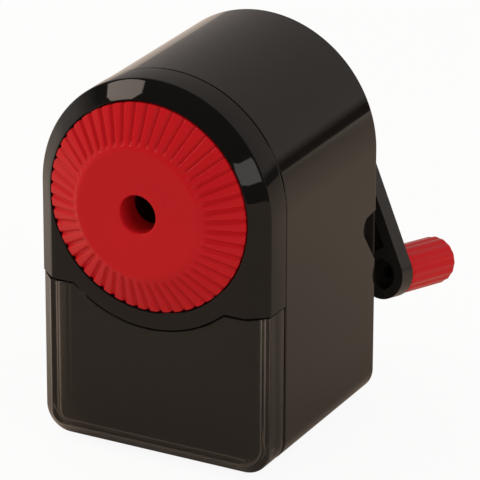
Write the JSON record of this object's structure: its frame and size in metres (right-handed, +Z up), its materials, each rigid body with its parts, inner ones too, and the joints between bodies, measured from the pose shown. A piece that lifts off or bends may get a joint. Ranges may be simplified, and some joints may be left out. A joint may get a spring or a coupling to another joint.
{
  "type": "crank pencil sharpener",
  "caption": "Arched desk pencil sharpener with a fluted front dial round the pencil hole, a smoked shavings drawer and a rear crank that turns a planetary helical cutter.",
  "frame": {"origin": "on the table, under the middle of the body's footprint", "axes": "+X to the right seen from the pencil side, +Y from the pencil side to the crank, +Z up"},
  "size_m": [0.0672, 0.0957, 0.0947],
  "materials": {
    "satin_black": "satin moulded ABS",
    "gloss_black": "polished moulded ABS",
    "red_plastic": "glossy moulded ABS",
    "smoke_clear": "clear smoked polystyrene",
    "zinc": "die-cast zinc",
    "tool_steel": "hardened and ground",
    "bright_steel": "bright zinc plated",
    "bronze": "sintered bronze",
    "nylon": "natural nylon",
    "rubber": "soft rubber"
  },
  "bodies": {
    "housing": {"main_shell": "satin_black", "front_bezel": "gloss_black", "rear_cover": "satin_black", "ring_gear": "zinc", "shaft_bush": "bronze", "bezel_screws": "bright_steel", "cover_screws": "bright_steel", "rubber_pad": "rubber"},
    "dial": {"adjuster_dial": "red_plastic"},
    "drawer": {"shavings_drawer": "smoke_clear"},
    "crank": {"cutter_carrier": "zinc", "drive_shaft": "bright_steel", "shaft_pin": "tool_steel", "thrust_washer": "nylon", "shaft_clip": "tool_steel", "crank_arm": "satin_black", "crank_screw": "bright_steel", "cutter_axle": "tool_steel", "axle_clip": "tool_steel"},
    "grip": {"crank_grip": "red_plastic"},
    "cutter": {"helical_cutter": "tool_steel", "cutter_pinion": "tool_steel"}
  },
  "joints": [
    {"name": "crank_spin", "type": "hinge", "parent": "housing", "child": "crank", "pos_m": [0, 0.0471, 0.0644], "axis": [0, 1, 0], "continuous": true},
    {"name": "cutter_spin", "type": "hinge", "parent": "crank", "child": "cutter", "pos_m": [0, 0.03826, 0.0644], "axis": [0, 0.9781, -0.2079], "continuous": true},
    {"name": "grip_spin", "type": "hinge", "parent": "crank", "child": "grip", "pos_m": [0.02793, 0.03692, 0.02891], "axis": [0.136, 0.9755, -0.1728], "continuous": true},
    {"name": "drawer_slide", "type": "slide", "parent": "housing", "child": "drawer", "axis": [0, -1, 0], "range_m": [0, 0.044]},
    {"name": "dial_twist", "type": "hinge", "parent": "housing", "child": "dial", "pos_m": [0, -0.029, 0.0644], "axis": [0, -1, 0], "range_deg": [0, 40]}
  ],
  "couplings": [
    {"joint": "cutter_spin", "follows": "crank_spin", "ratio": -2.1667}
  ]
}
